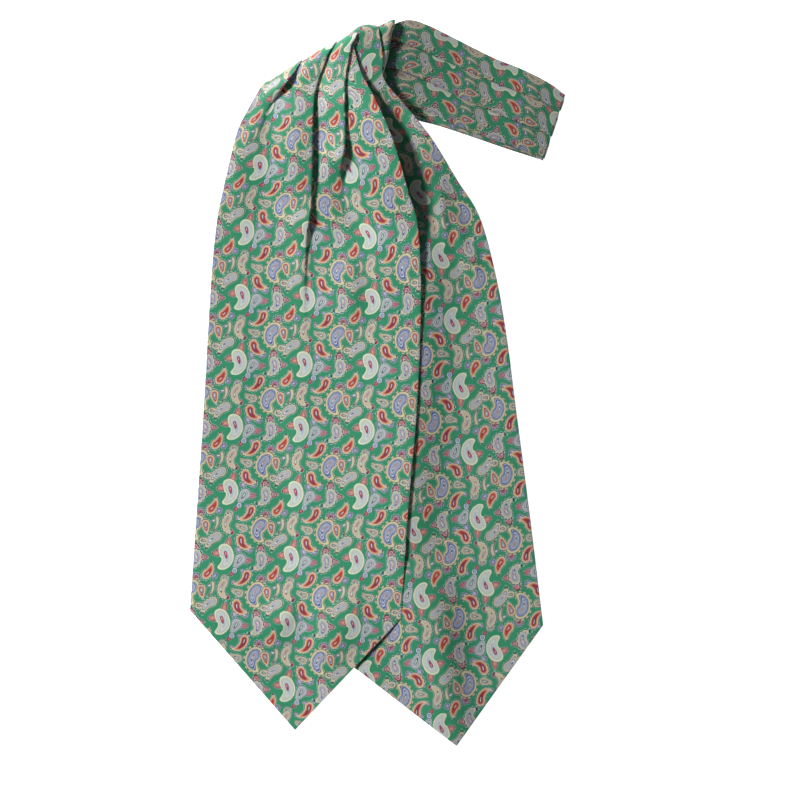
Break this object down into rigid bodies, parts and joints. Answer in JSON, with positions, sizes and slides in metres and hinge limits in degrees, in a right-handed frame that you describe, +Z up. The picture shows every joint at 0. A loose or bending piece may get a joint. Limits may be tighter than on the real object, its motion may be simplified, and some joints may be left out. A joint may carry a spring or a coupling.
{
  "type": "silk cravat",
  "caption": "Wide self-lined silk cravat laid flat and folded at its pleated neckband, its two pointed blades lying one on the other, in an all-over paisley print.",
  "frame": {"origin": "Under the middle of the whole object, on the surface that it lies on.", "axes": "+Y along the blades from their points to the neck, +X across them to the right, +Z up from the surface."},
  "size_m": [0.2645, 0.5079, 0.0165],
  "materials": {
    "front_silk": "printed silk twill, soft sheen",
    "rear_silk": "printed silk twill, soft sheen",
    "pleat_silk": "printed silk twill, soft sheen",
    "band_silk": "printed silk twill, soft sheen",
    "hidden_silk": "printed silk twill, soft sheen"
  },
  "bodies": {
    "root": {"front_blade": "front_silk", "rear_blade": "rear_silk", "rear_neck_pleat": "pleat_silk", "neckband_top_run": "band_silk", "neckband_lower_run": "hidden_silk"}
  },
  "joints": []
}
